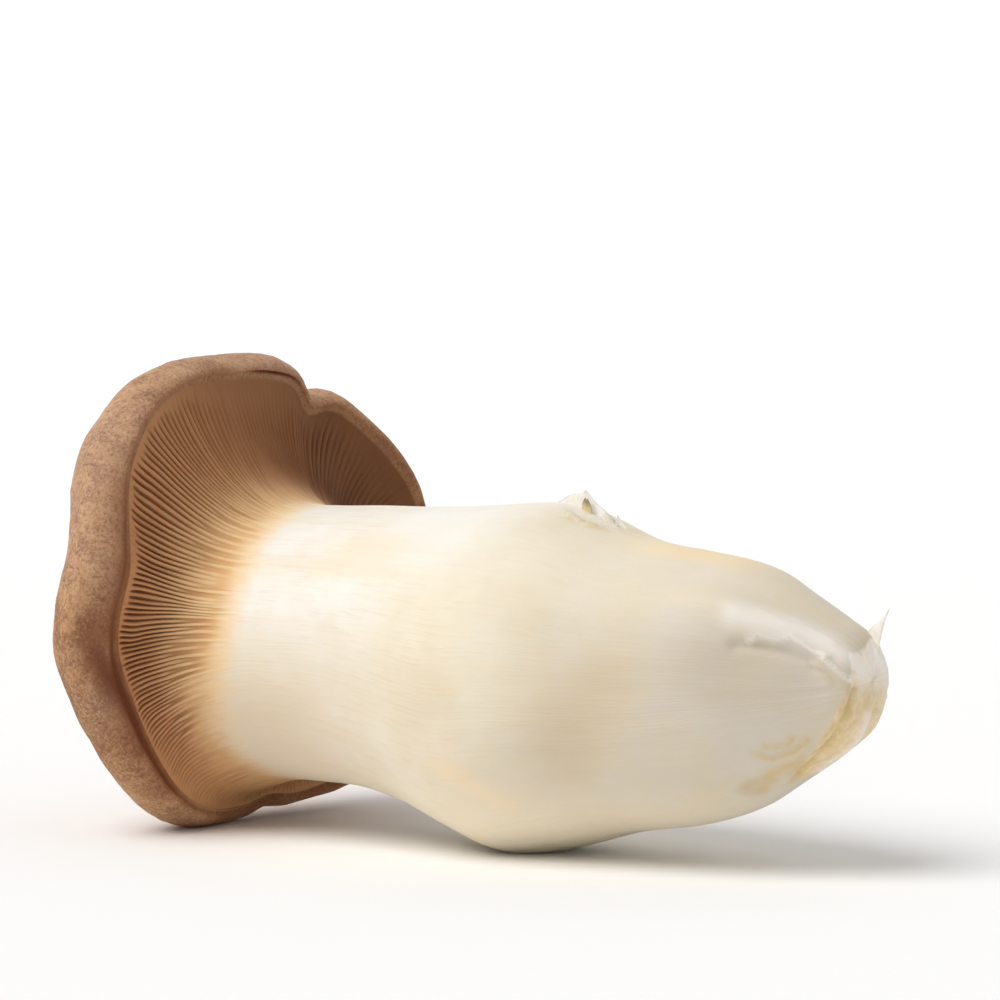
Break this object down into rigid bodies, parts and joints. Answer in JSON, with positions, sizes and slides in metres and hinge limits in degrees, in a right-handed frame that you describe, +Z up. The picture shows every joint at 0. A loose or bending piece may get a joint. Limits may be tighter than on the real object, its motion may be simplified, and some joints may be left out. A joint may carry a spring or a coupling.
{
  "type": "king oyster mushroom",
  "caption": "Whole king oyster mushroom lying on its side: rolled brown cap, gills running down on to a thick cream stem, tapered butt.",
  "frame": {"origin": "on the surface that it lies on, under the middle of its bounding box", "axes": "+X along the stem from the cap towards the butt, +Z up, and -Y the side that the picture shows"},
  "size_m": [0.1244, 0.0764, 0.069],
  "materials": {
    "flesh": "soft satin skin, cream stem with fine fibres, tan gills and a mottled brown cap"
  },
  "bodies": {
    "root": {"king_oyster_mushroom": "flesh"}
  },
  "joints": []
}
